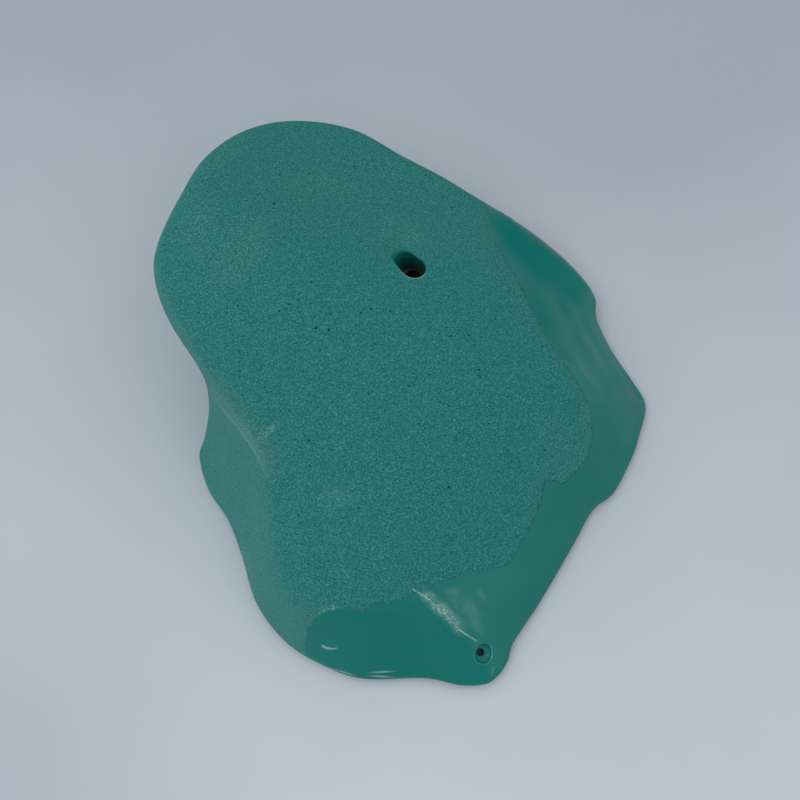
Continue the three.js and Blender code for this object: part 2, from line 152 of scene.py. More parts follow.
# Forms moulded into the skin, each a line over it: the points' x, y, z, how far the form spreads
# to each side of them and how far it stands out, or sinks in where negative, in millimetres. A
# form is laid down in steps of FORM_STEP.
MOULDED_FORMS = (
    # Right flank, five lines from the rough skin to the outline: the smooth scoop at the far end
    # and its lip, the second scoop beside the rough skin, the lower shoulder, the rolled corner
    (
        (73, 72, 52, 8, -0.2), (82, 47, 56, 8, -0.7), (90, 27, 58, 8, -1.6), (99, 10, 57, 8, -1.6),
        (109, -6, 52, 8, -1.6), (117, -23, 44, 8, -1.6), (117, -39, 36, 8, 0.2),
        (111, -52, 33, 8, 0.6),
    ),
    (
        (62, 132, 35, 9, 0), (71, 107, 38, 9, 0.9), (81, 84, 41, 9, -0.4), (91, 60, 43, 9, 0.5),
        (100, 41, 43, 9, 0.7), (108, 22, 45, 9, -0.4), (118, 5, 41, 9, -0.2),
        (125, -15, 38, 9, -0.2), (128, -31, 29, 9, 0.5), (120, -48, 28, 9, 0.5),
    ),
    (
        (66, 135, 30, 10, 0), (78, 115, 32, 10, 2), (91, 95, 32, 10, 0.6), (102, 75, 31, 10, -0.4),
        (111, 55, 30, 10, 1.3), (118, 35, 30, 10, 1.3), (129, 16, 27, 10, 0.2),
        (137, -4, 26, 10, 0.7), (139, -23, 21, 10, 1.8), (131, -42, 20, 10, 0.9),
    ),
    (
        (69, 134, 28, 9, 0), (84, 121, 27, 9, 0.5), (100, 105, 25, 9, 1), (114, 88, 22, 9, 0.9),
        (122, 68, 19, 9, 1), (127, 48, 18, 9, 1.1), (139, 29, 14, 9, 0.5), (148, 8, 13, 9, 0),
        (150, -13, 14, 9, 0.7), (141, -37, 14, 9, 0),
    ),
    (
        (71, 133, 27, 8, 0.7), (89, 124, 22, 8, 0.1), (104, 112, 19, 8, -0.6), (121, 97, 15, 8, 0),
        (130, 79, 12, 8, 0.9), (135, 58, 9, 8, 0.2), (144, 35, 7, 8, -0.5), (156, 16, 6, 8, -1),
        (160, -6, 8, 8, -1), (150, -32, 9, 8, -0.8),
    ),
    # Short crest out of the rough skin
    ((97, 8, 60, 3, 0.4), (104.7, 4, 55, 4, 1), (112.5, 1, 48, 5, 0.8), (125, 0, 34, 6, 0.3)),
    # Hollow in the left flank, below the crest that the rough skin rolls over
    (
        (-116, -26, 60, 5, -0.8), (-111, -38, 53, 8, -1.8), (-107, -52, 45, 10, -2.2),
        (-103, -68, 35, 9, -1.4), (-98, -84, 28, 7, -0.5),
    ),
    (
        (-123, -15, 73, 3, 0.3), (-113, -29, 72, 3, 0.7), (-100, -44, 70, 3.5, 0.7),
        (-91, -58, 65, 4, 0.3),
    ),
    # Crest between the two lower facets
    ((5, -132, 38, 2, 0.2), (15, -141, 33, 3, 0.4), (27, -151, 27, 3, 0.5), (38, -158, 21, 3, 0.3)),
    # Shallow dishes of the lower facets
    ((-42, -157, 26, 8, -0.5), (-20, -159, 26, 10, -0.8), (2, -160, 23, 8, -0.6)),
    (
        (52, -130, 26, 8, -0.4), (68, -116, 24, 10, -0.8), (88, -92, 24, 10, -0.8),
        (104, -68, 28, 8, -0.4),
    ),
    # Soft entry at the upper left of the bolt hole
    (
        (-17, 71, 81, 5, -0.8), (-14, 78, 79, 6, -2.4), (-8.5, 82.5, 77, 6, -2.4),
        (-1, 84, 76, 5, -0.8),
    ),
)
FORM_STEP = 2

# Swell of the mould, as widths and heights in millimetres, and how far above the foot it and the
# forms reach their full height
SWELLS = ((46, 0.5), (17, 0.07))
FOOT_BLEND = 9 * MM

# Lines of wear and small marks, seen square to the wall, in millimetres
RUBBED_CREST = np.array((
    (-3, -128.5), (3.6, -131.8), (9.6, -135.1), (15, -140), (19.9, -143.9), (24.7, -148.4),
    (28.4, -152.3), (32.7, -155), (40.5, -159.4),
))
LEFT_CREST = np.array((
    (-127, -10), (-119.5, -20.5), (-112.8, -29), (-106.7, -36), (-101, -42.8), (-95.6, -50.5),
    (-90.9, -57.3), (-87.3, -64.9), (-84.5, -72.9),
))
DARK_PITS = (
    (-57.1, 17.7, 1.5), (-49.3, 16.7, 1.4), (-86.0, 101.1, 1.5), (24.6, 16.4, 1.2),
    (22.9, -72.4, 1.3), (31.5, -145.4, 0.9), (-60.7, -47.2, 1.2), (-25.4, -20.3, 1.1),
)

# Soft marks: the centre, the angle in degrees, the half lengths and the strength of each. They
# are so tall that they don't fade with the height.
CHALK_PATCHES = (
    ((-45, -80), 10, (20, 10), 0.4), ((-85.5, -42), 40, (9, 5), 1.04),
    ((90, 44), -62, (40, 8), 0.24), ((-62, 122), 10, (60, 26), 0.12),
    ((88, -40), -50, (26, 12), 0.24), ((-5, 95), -20, (34, 20), 0.2),
    ((-122, 134), 55, (46, 16), 0.12), ((-128, 78), 80, (40, 22), 0.16),
    ((-104, 62), 60, (44, 18), 0.28), ((-104, -112), -72, (34, 7), 0.4),
)
HAZE_PATCHES = (
    ((33, -141), -40, (19, 11), 0.3), ((43, -133), -60, (8, 3.5), 0.3),
    ((26.5, -131.5), -10, (9, 5), 0.3), ((40, -149), -50, (9, 6), 0.3),
)
GRIME_PATCHES = (((152, -2), 5, (13, 26), 0.16), ((95, 118), -42, (36, 8), 0.24))
# Painted highlights: faint pale lines along the front edge of the foot, and a short pale streak
# below the screw
FAINT_LINES = (
    ((-17.7, -176.5), 3, (10.5, 0.7), 0.3), ((-18.5, -179), -3, (10, 0.7), 0.3),
    ((-41, -176.6), -16, (11, 0.6), 0.3), ((50.3, -175.5), 78, (4, 0.9), 0.1),
)
MARK_HEIGHT = 1e6
GLOSS = 0.25

# Floor card: its lighter and darker patches of painted light and shade, with their centres, half
# sizes and amounts
CARD_PATCHES = (
    ((230, 260), (240, 220), -0.15), ((-260, 40), (200, 330), 0.05),
    ((-280, -300), (240, 240), -0.43),
)
FLOOR_REACH = 4
FLOOR_DROP = 0.3 * MM

# Low sky, as a share of a turn from the left through the front, the right and the back
LOW_SKY = (
    (0.01, "#ffffff"), (0.13, "#f4f4f2"), (0.22, "#bcbdbe"), (0.27, "#b0b1b2"), (0.34, "#cfcfd0"),
    (0.42, "#cfcfd0"), (0.5, "#dadadb"), (0.58, "#ffffff"), (0.615, "#5a5b5c"), (0.64, "#141414"),
    (0.72, "#202122"), (0.84, "#b9bcbf"), (0.99, "#ffffff"),
)

# What the camera and its tripod cover of the sky: the direction and how much of the light, and
# the angles from that direction where the cover ends and where it is full
COVERED_SKY = (((0.06, -0.22, 0.974), 0.8), ((0.05, -0.8, 0.6), 0.5))
COVER_END = math.radians(34)
COVER_FULL = math.radians(14)
SKY_STRENGTH = 1.11
LAMP_PLACE = Vector((-0.5, -0.45, 1.25))
LAMP_SIZE = 1.2
LAMP_POWER = 3

# Resolution
GRID_CELLS = 256
CURVE_TURNS = 1032
CURVE_STEPS = 320
ARC_STEPS = 40
ROUND_SEGMENTS = 72
RIM_STEPS = 13
HOLLOW_CELL = 3 * MM
HOLLOW_SMOOTHINGS = 4
SHARP_ANGLE = math.radians(38)


# Small helpers

def srgb(code):
    """The linear colour of a hex code."""
    channels = [int(code[i:i + 2], 16) / 255 for i in (1, 3, 5)]
    linear = [c / 12.92 if c <= 0.04045 else ((c + 0.055) / 1.055) ** 2.4 for c in channels]
    return (*linear, 1)


def add(tree, kind, inputs=None, **settings):
    """Adds a node: settings are its properties, inputs are values, hex colours, or the sockets or
    nodes linked to it."""
    made = tree.nodes.new(kind)
    for key, value in settings.items():
        setattr(made, key, value)
    for key, value in (inputs or {}).items():
        if isinstance(value, bpy.types.Node):
            value = next(output for output in value.outputs if output.enabled)
        if isinstance(value, bpy.types.NodeSocket):
            tree.links.new(value, made.inputs[key])
        else:
            made.inputs[key].default_value = srgb(value) if isinstance(value, str) else value
    return made


def new_material(describe):
    """A material named after the function that gives its base colour, the layers of colour over
    it as shares and tones, and the other inputs of its shader."""
    material = bpy.data.materials.new(describe.__name__)
    material.use_nodes = True
    tree = material.node_tree
    tree.nodes.clear()
    coords = add(tree, "ShaderNodeTexCoord").outputs["Object"]
    colour, layers, inputs = describe(tree, coords)
    for share, tone in layers:
        colour = add(
            tree, "ShaderNodeMix", {0: share, 6: colour, 7: tone}, data_type="RGBA",
        ).outputs[2]
    shader = add(tree, "ShaderNodeBsdfPrincipled", {"Base Color": colour, **inputs})
    add(tree, "ShaderNodeOutputMaterial", {"Surface": shader})
    return material


def new_object(name, bm, *materials):
    mesh = bpy.data.meshes.new(name)
    bm.to_mesh(mesh)
    bm.free()
    piece = bpy.data.objects.new(name, mesh)
    bpy.context.scene.collection.objects.link(piece)
    for material in materials:
        mesh.materials.append(material)
    return piece


def face_outward(bm):
    bmesh.ops.recalc_face_normals(bm, faces=bm.faces)
    for face in bm.faces:
        face.smooth = True


def apply_modifiers(piece):
    depsgraph = bpy.context.evaluated_depsgraph_get()
    mesh = bpy.data.meshes.new_from_object(piece.evaluated_get(depsgraph))
    piece.modifiers.clear()
    piece.data = mesh


# The grip's outer skin

def face_height(x, y):
    levels = [
        a * GRIP_DEPTH + (b * x + c * y) * GRIP_DEPTH / HALF_LENGTH for a, b, c in FACE_PLANE_SHARES
    ]
    blend = FACE_BLEND_SHARE * GRIP_DEPTH
    lowest = np.minimum.reduce(levels)
    return lowest - blend * np.log(sum(np.exp((lowest - level) / blend) for level in levels))


def on_face(plan):
    return np.concatenate((plan, face_height(plan[..., :1], plan[..., 1:2])), axis=-1)


def along_stations(column, turns):
    """Points on a smooth closed curve through one column of the stations."""
    points = STATION_SHARES[:, column]
    place = turns * len(points)
    first = np.floor(place).astype(int)
    t = (place - first)[:, None]
    before, start, end, after = (points[(first + step) % len(points)] for step in (-1, 0, 1, 2))
    leaving = (end - before) / 2
    arriving = (after - start) / 2
    return (
        (2 * t**3 - 3 * t**2 + 1) * start + (t**3 - 2 * t**2 + t) * leaving
        + (3 * t**2 - 2 * t**3) * end + (t**3 - t**2) * arriving
    )


def length(vectors):
    return np.linalg.norm(vectors, axis=-1, keepdims=True)


def towards(start, end, distance):
    return start + (end - start) / length(end - start) * distance


def rounded(start, corner, end, shares):
    t = shares[None, :, None]
    start, corner, end = (p[:, None, :] for p in (start, corner, end))
    return (1 - t) ** 2 * start + 2 * t * (1 - t) * corner + t**2 * end


def spoke_lines(turns):
    """Lines over the grip from the middle of its face to its foot, evenly stepped, one per turn."""
    edge_share, side, brow_share = (along_stations(column, turns) for column in range(3))
    edge = edge_share * (HALF_LENGTH, HALF_LENGTH, GRIP_DEPTH)
    brow = on_face(brow_share[:, :2] * HALF_LENGTH)
    softness = brow_share[:, 2:] * HALF_LENGTH
    flank = edge + (brow - edge) * side[:, 1:2]
    flank[:, 2] = edge[:, 2] + (brow[:, 2] - edge[:, 2]) * side[:, 2]
    back = edge * (1 - side[:, :1])
    back[:, 2] = 0
    inner = brow[:, :2] * (1 - softness / length(brow[:, :2]))
    flank_start = towards(brow, flank, np.minimum(softness, length(flank - brow) / 2))
    trim = np.minimum(length(flank - edge), length(back - edge)) / 2
    flank_end = towards(edge, flank, trim)
    foot_start = towards(edge, back, trim)
    steps = np.linspace(0, 1, ARC_STEPS)
    face = on_face(inner[:, None, :] * steps[None, :, None])
    foot = foot_start[:, None] + (back - foot_start)[:, None] * steps[None, :, None]
    lines = np.concatenate((
        face,
        rounded(on_face(inner), brow, flank_start, steps),
        rounded(flank_start, flank, flank_end, steps),
        rounded(flank_end, edge, foot_start, steps),
        foot,
    ), axis=1)
    run = np.cumsum(np.linalg.norm(np.diff(lines, axis=1), axis=2), axis=1)
    run = np.concatenate((np.zeros((len(lines), 1)), run), axis=1)
    even = np.empty((len(lines), CURVE_STEPS + 1, 3))
    for line, distances, target in zip(lines, run, even):
        places = np.linspace(0, distances[-1], CURVE_STEPS + 1)
        for axis in range(3):
            target[:, axis] = np.interp(places, distances, line[:, axis])
    return even


def square_to_disc(u, v):
    """Bends a square into a disc with even cells: the turn and the reach of each point."""
    wide = np.abs(u) > np.abs(v)
    reach = np.where(wide, u, v)
    safe = np.where(reach == 0, 1, reach)
    angle = np.where(wide, v / safe * math.pi / 4, math.pi / 2 - u / safe * math.pi / 4)
    angle = np.where(reach < 0, angle + math.pi, angle)
    return (angle / (2 * math.pi)) % 1, np.abs(reach)


def skin_points(u, v):
    turn, reach = square_to_disc(u, v)
    lines = spoke_lines(np.arange(CURVE_TURNS) / CURVE_TURNS)
    across = turn * CURVE_TURNS
    down = np.clip(reach, 0, 1) * CURVE_STEPS
    i = np.floor(across).astype(int)
    j = np.minimum(np.floor(down).astype(int), CURVE_STEPS - 1)
    s = (across - i)[:, None]
    t = (down - j)[:, None]
    i = i % CURVE_TURNS
    k = (i + 1) % CURVE_TURNS
    return (
        (1 - s) * ((1 - t) * lines[i, j] + t * lines[i, j + 1])
        + s * ((1 - t) * lines[k, j] + t * lines[k, j + 1])
    )


def standing_out(points):
    """How far the skin is lifted by its moulded forms and by the swell of a hand-made mould."""
    lift = np.zeros(len(points))
    for form in MOULDED_FORMS:
        for start, end in zip(np.array(form), np.array(form)[1:]):
            run = np.linalg.norm((end - start)[:3])
            steps = math.ceil(run / FORM_STEP)
            for share in (np.arange(steps) + 0.5) / steps:
                x, y, z, spread, height = start + share * (end - start)
                gap = np.linalg.norm(points / MM - (x, y, z), axis=1) / spread
                lift += height * run / steps / (spread * math.sqrt(math.pi)) * np.exp(-gap**2)
    for span, height in SWELLS:
        lift += [height * noise.noise(Vector(point) / (span * MM)) for point in points]
    return lift * MM * np.clip(points[:, 2] / FOOT_BLEND, 0, 1)


def make_outer():
    bm = bmesh.new()
    bmesh.ops.create_grid(bm, x_segments=GRID_CELLS, y_segments=GRID_CELLS, size=1)
    square = np.array([vert.co[:2] for vert in bm.verts])
    points = skin_points(square[:, 0], square[:, 1])
    points[:, :2] += shift
    for vert, point in zip(bm.verts, points):
        vert.co = point
    bmesh.ops.recalc_face_normals(bm, faces=bm.faces)
    bm.normal_update()
    normals = np.array([vert.normal for vert in bm.verts])
    if normals[:, 2].sum() < 0:
        normals = -normals
    points += normals * standing_out(points)[:, None]
    for vert, point in zip(bm.verts, points):
        vert.co = point
    rim = [edge for edge in bm.edges if edge.is_boundary]
    bmesh.ops.edgeloop_fill(bm, edges=rim)
    face_outward(bm)
    return bm


bolt_low, bolt_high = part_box("bolt_washer")
screw_low, screw_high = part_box("screw_washer")
bolt_place = ((bolt_low + bolt_high) / 2).to_2d()
screw_place = ((screw_low + screw_high) / 2).to_2d()
shift = np.array(bolt_place - BOLT_PLACE_SHARE * HALF_LENGTH)
seat = bolt_high.z
mouth_top = float(face_height(*(BOLT_PLACE_SHARE * HALF_LENGTH))) + MOUTH_RISE
recess_centre = (screw_place + RECESS_CENTRE_SHIFT).to_3d() + UPRIGHT * RECESS_HEIGHT
recess_axis = RECESS_AXIS.normalized()


# Hollow back, taken from the frame so that it follows the casting's own ribs

def make_hollow():
    bm = bmesh.new()
    bm.from_mesh(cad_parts["grip_body"].data)
    bmesh.ops.remove_doubles(bm, verts=bm.verts, dist=TOUCH)
    level = [face for face in bm.faces if all(abs(vert.co.z) < TOUCH for vert in face.verts)]
    bmesh.ops.delete(bm, geom=level, context="FACES")
    top = max(bm.verts, key=lambda vert: vert.co.z)
    reached = {top}
    edge_of_reach = [top]
    while edge_of_reach:
        vert = edge_of_reach.pop()
        for edge in vert.link_edges:
            other = edge.other_vert(vert)
            if other not in reached:
                reached.add(other)
                edge_of_reach.append(other)
    bmesh.ops.delete(bm, geom=list(reached), context="VERTS")
    rim = [edge for edge in bm.edges if edge.is_boundary]
    lowered = bmesh.ops.extrude_edge_only(bm, edges=rim)["geom"]
    below = [item for item in lowered if isinstance(item, bmesh.types.BMVert)]
    bmesh.ops.translate(bm, verts=below, vec=-OVERRUN * UPRIGHT)
    loops = [item for item in lowered if isinstance(item, bmesh.types.BMEdge)]
    loops = [edge for edge in loops if edge.is_boundary]
    bmesh.ops.triangle_fill(bm, edges=loops, use_beauty=True)
    bmesh.ops.recalc_face_normals(bm, faces=bm.faces)
    return bm


def softened(piece):
    """Gives a cutter even cells and rounds its inner and outer corners, as a moulder's fillets."""
    remesh = piece.modifiers.new("cells", "REMESH")
    remesh.mode = "VOXEL"
    remesh.voxel_size = HOLLOW_CELL
    smooth = piece.modifiers.new("fillets", "SMOOTH")
    smooth.factor = 0.5
    smooth.iterations = HOLLOW_SMOOTHINGS
    apply_modifiers(piece)
    for face in piece.data.polygons:
        face.use_smooth = True
    return piece


# Cutters of the two holes

def turned(name, profile, place, material):
    """A closed turned shape on a place in plan, its profile given as radius and height."""
    bm = bmesh.new()
    verts = [bm.verts.new((place.x + radius, place.y, height)) for radius, height in profile]
    edges = [bm.edges.new(pair) for pair in zip(verts, verts[1:])]
    bmesh.ops.spin(
        bm, geom=verts + edges, cent=place.to_3d(), axis=UPRIGHT, angle=2 * math.pi,
        steps=ROUND_SEGMENTS, use_merge=True,
    )
    bmesh.ops.remove_doubles(bm, verts=bm.verts, dist=TOUCH / 10)
    face_outward(bm)
    return new_object(name, bm, material)


def hull(name, rings, material):
    """A closed convex shape round some rings, each given as its centre, axis and radius."""
    bm = bmesh.new()
    for centre, axis, radius in rings:
        place = Matrix.Translation(centre) @ axis.to_track_quat("Z", "Y").to_matrix().to_4x4()
        bmesh.ops.create_circle(bm, segments=ROUND_SEGMENTS, radius=radius, matrix=place)
    made = bmesh.ops.convex_hull(bm, input=bm.verts)
    inner = [item for item in made["geom_interior"] if isinstance(item, bmesh.types.BMVert)]
    bmesh.ops.delete(bm, geom=inner, context="VERTS")
    loose = [edge for edge in bm.edges if not edge.link_faces]
    bmesh.ops.delete(bm, geom=loose, context="EDGES")
    face_outward(bm)
    return new_object(name, bm, material)


def cut(piece, cutters):
    """Takes the cutters out of the piece and removes them."""
    for cutter in cutters:
        boolean = piece.modifiers.new(cutter.name, "BOOLEAN")
        boolean.operation = "DIFFERENCE"
        boolean.solver = "MANIFOLD"
        boolean.object = cutter
    apply_modifiers(piece)
    for cutter in cutters:
        bpy.data.objects.remove(cutter)


# Surface marks

def mark(tree, coords, centre, angle, size, softness=1, strength=1):
    """A soft oval mask on the face, seen square to the wall: 0 outside it, its strength inside."""
    local = add(
        tree, "ShaderNodeMapping",
        {
            "Vector": coords,
            "Location": (centre[0] * MM, centre[1] * MM, 0),
            "Rotation": (0, 0, math.radians(angle)),
            "Scale": (size[0] * MM, size[1] * MM, MARK_HEIGHT),
        },
        vector_type="TEXTURE",
    )
    reach = add(tree, "ShaderNodeVectorMath", {0: local}, operation="LENGTH")
    return add(
        tree, "ShaderNodeMapRange",
        {"Value": reach, "From Min": 1, "From Max": 1 - softness, "To Max": strength},
        interpolation_type="SMOOTHSTEP",
    )


def strongest_mark(tree, coords, rows, softness=1):
    """The strongest of some marks at each place: their centres, angles, sizes and strengths."""
    strongest = 0
    for centre, angle, size, strength in rows:
        patch = mark(tree, coords, centre, angle, size, softness, strength)
        strongest = add(tree, "ShaderNodeMath", {0: strongest, 1: patch}, operation="MAXIMUM")
    return strongest


def band(tree, value, middle, half_width, softness, strength=1):
    """A mask that is full within half a width of the middle and fades to 0 over the softness."""
    offset = add(tree, "ShaderNodeMath", {0: value, 1: middle}, operation="SUBTRACT")
    offset = add(tree, "ShaderNodeMath", {0: offset}, operation="ABSOLUTE")
    return add(
        tree, "ShaderNodeMapRange",
        {
            "Value": offset, "From Min": half_width + softness, "From Max": half_width,
            "To Max": strength,
        },
        interpolation_type="SMOOTHSTEP",
    )


def open_bubbles(tree, coords, spacing, bare, widest):
    """Round pits of many sizes, 1 inside them: the cells' spacing, the share of the cells that
    have none, and the widest pit as a share of a cell."""
    cell = add(tree, "ShaderNodeTexVoronoi", {"Vector": coords, "Scale": 1 / spacing})
    size = add(tree, "ShaderNodeSeparateColor", {"Color": cell.outputs["Color"]})
    size = add(tree, "ShaderNodeMapRange", {"Value": size, "From Min": bare, "To Max": widest})
    depth = add(
        tree, "ShaderNodeMath", {0: size, 1: cell.outputs["Distance"]}, operation="SUBTRACT",
    )
    return add(tree, "ShaderNodeMapRange", {"Value": depth, "From Max": 0.03})


# Materials: the base colour of each, the layers over it and its shader's other inputs

def rough_skin(tree, coords, speckle, sandy, worn):
    """Sandy skin: its colour, how flat and unworn it lies, and its relief."""
    # Grain of the carved master: sand about 1 mm across, with painted highlights on its tops and
    # painted shade where grains are missing, and plainer on the steep sides, where the mould was
    # rubbed smoother
    flat = add(tree, "ShaderNodeNewGeometry").outputs["Normal"]
    flat = add(tree, "ShaderNodeSeparateXYZ", {0: flat}).outputs["Z"]
    flat = add(
        tree, "ShaderNodeMapRange",
        {"Value": flat, "From Min": 0.55, "From Max": 0.9, "To Min": 0.85},
        interpolation_type="SMOOTHSTEP",
    )
    flat = add(tree, "ShaderNodeMapRange", {"Value": worn, "To Min": flat, "To Max": 0.5})
    grain = add(
        tree, "ShaderNodeTexNoise",
        {"Vector": coords, "Scale": 1 / (1 * MM), "Detail": 2, "Roughness": 0.65},
    )
    tops, gaps = (
        add(
            tree, "ShaderNodeMapRange",
            {"Value": grain, "From Min": start, "From Max": end, "To Max": flat},
            interpolation_type="SMOOTHSTEP",
        )
        for start, end in ((0.46, 0.76), (0.54, 0.24))
    )
    relief = add(tree, "ShaderNodeMath", {0: tops, 1: gaps}, operation="SUBTRACT")
    relief = add(tree, "ShaderNodeMath", {0: relief, 1: sandy}, operation="MULTIPLY")

    # Scattered pits, and the few that stand out
    pits = open_bubbles(tree, coords, 6 * MM, 0, 0.13)
    pits = add(tree, "ShaderNodeMath", {0: pits, 1: sandy}, operation="MULTIPLY")
    rows = [((x, y), 30, (radius, radius * 0.8), 1) for x, y, radius in DARK_PITS]
    dark_pits = strongest_mark(tree, coords, rows, 0.6)
    pits = add(tree, "ShaderNodeMath", {0: pits, 1: dark_pits}, operation="MAXIMUM")
    relief = add(tree, "ShaderNodeMath", {0: relief, 1: pits}, operation="SUBTRACT")

    # Painted shade in its gaps and pits, painted grey sheen on the steep sides and far from the
    # middle, with chalk on a few worn patches
    # Painted grey sheen on the steep sides
    steep_sheen = add(
        tree, "ShaderNodeMapRange",
        {"Value": flat, "From Min": 1, "From Max": 0.85, "To Max": 0.16},
    )
    # Painted grey sheen far from the middle of the face
    middle = mark(tree, coords, (10, -30), 0, (140, 160), 0.9)
    painted_light = add(tree, "ShaderNodeMapRange", {"Value": middle, "To Min": 0.04, "To Max": 0})
    chalk = strongest_mark(tree, coords, CHALK_PATCHES)
    chalk = add(
        tree, "ShaderNodeMapRange",
        {"Value": speckle, "From Min": 0.52, "From Max": 0.74, "To Max": chalk},
    )
    colour = "#137370"
    for share, tone in (
        (tops, "#469290"), (gaps, "#00544f"), (steep_sheen, "#5d9694"), (painted_light, "#65636b"),
        (chalk, "#a9c8c4"), (pits, "#052f2c"),
    ):
        colour = add(
            tree, "ShaderNodeMix", {0: share, 6: colour, 7: tone}, data_type="RGBA",
        ).outputs[2]
    return colour, flat, relief


def polished_skin(tree, coords):
    """Colours of the polished skin, with a thin haze of handling and some brown dirt."""
    clouds = add(tree, "ShaderNodeTexNoise", {"Vector": coords, "Scale": 1 / (9 * MM), "Detail": 4})
    haze = add(
        tree, "ShaderNodeMapRange",
        {
            "Value": clouds, "From Min": 0.3, "From Max": 0.75,
            "To Max": strongest_mark(tree, coords, HAZE_PATCHES),
        },
    )
    grime_and_painted_shade = strongest_mark(tree, coords, GRIME_PATCHES)
    return "#016c66", ((clouds, "#03706a"), (haze, "#7fa9a5"), (grime_and_painted_shade, "#5a4640"))


def pale_scuffs_and_highlights(tree, coords, speckle, edge):
    """White wear of the polished skin and of the screw recess's rim, and painted highlights along
    the foot and on the near rim of the bolt hole; 0 where there is none.
    """
    rub, bolt_rim, screw_rim = (
        add(tree, "ShaderNodeAttribute", attribute_name=name).outputs["Fac"]
        for name in ("crest_rub", "bolt_rim", "screw_rim")
    )

    # The crest between the lower facets, rubbed to a line with specks in a thin bloom beside it
    dense = mark(tree, coords, (19, -143.5), -42, (21, 10), 0.5)
    clumps = add(tree, "ShaderNodeTexNoise", {"Vector": coords, "Scale": 1 / (5 * MM), "Detail": 2})
    clumps = add(
        tree, "ShaderNodeMapRange",
        {"Value": clumps, "From Min": 0.38, "From Max": 0.6, "To Min": 0.45, "To Max": 1.2},
    )
    for share in (band(tree, rub, 1, 1, 4.6), clumps):
        dense = add(tree, "ShaderNodeMath", {0: dense, 1: share}, operation="MULTIPLY")
    core = mark(tree, coords, (26.5, -150), -45, (9, 4), 0.9, 0.07)
    cloud = add(tree, "ShaderNodeMath", {0: dense, 1: 0.17, 2: core}, operation="MULTIPLY_ADD")
    shown = add(
        tree, "ShaderNodeMapRange",
        {"Value": cloud, "From Min": 0.01, "From Max": 0.1, "To Max": 0.62},
    )
    specks = add(tree, "ShaderNodeMath", {0: speckle, 1: cloud}, operation="ADD")
    specks = add(
        tree, "ShaderNodeMapRange",
        {"Value": specks, "From Min": 0.64, "From Max": 0.9, "To Max": shown},
    )
    bloom = add(tree, "ShaderNodeMath", {0: dense, 1: 0.13}, operation="MULTIPLY")
    worn_line = add(
        tree, "ShaderNodeMapRange",
        {"Value": speckle, "From Min": 0.42, "From Max": 0.62, "To Min": 0.12, "To Max": 0.6},
    )
    line = band(tree, rub, 0.1, 0.15, 0.5)
    for share in (mark(tree, coords, (20, -145.5), -38, (27, 9), 0.2), worn_line):
        line = add(tree, "ShaderNodeMath", {0: line, 1: share}, operation="MULTIPLY")

    # A crescent nick with a tail
    nick = mark(tree, coords, (-50.9, -162.2), -14, (4.4, 1.7), 0.5, 0.34)
    nick_gap = mark(tree, coords, (-50.2, -161.3), -14, (4.4, 1.5), 0.5, 0.34)
    nick = add(tree, "ShaderNodeMath", {0: nick, 1: nick_gap}, operation="SUBTRACT", use_clamp=True)
    tail = mark(tree, coords, (-46.6, -163.3), 12, (2.6, 0.5), 0.5, 0.34)

    # Broken wear along the texture's edge and round the screw recess, and a painted highlight on
    # the near rim of the bolt hole
    beads = mark(tree, coords, (-49.5, -141.5), 10, (12, 4), 0.7, 0.35)
    beads = add(
        tree, "ShaderNodeMapRange",
        {"Value": speckle, "From Min": 0.5, "From Max": 0.62, "To Max": beads},
    )
    ring = mark(tree, coords, (50.5, -165.5), 80, (8, 5), 0.7)
    ring = add(tree, "ShaderNodeMapRange", {"Value": ring, "To Min": 0.05, "To Max": 0.3})
    ring = add(
        tree, "ShaderNodeMapRange",
        {"Value": speckle, "From Min": 0.4, "From Max": 0.6, "To Max": ring},
    )
    broken_wear_and_rim_highlight = [
        add(
            tree, "ShaderNodeMath", {0: band(tree, value, *limits), 1: share}, operation="MULTIPLY",
        )
        for value, limits, share in (
            (edge, (0.1, 0.5, 0.4), beads),
            (bolt_rim, (0.15, 0.1, 0.45), mark(tree, coords, (3, 60), 0, (11, 9), 0.6, 0.35)),
            (screw_rim, (0.1, 0.15, 0.4), ring),
        )
    ]
    # Painted highlights along the foot's front edge and a short pale streak below the screw, under
    # the wear
    scuff_and_highlight = strongest_mark(tree, coords, FAINT_LINES, 0.8)
    for wear in (specks, bloom, line, nick, tail, *broken_wear_and_rim_highlight):
        scuff_and_highlight = add(tree, "ShaderNodeMath", {0: scuff_and_highlight, 1: wear}, operation="MAXIMUM")
    return scuff_and_highlight


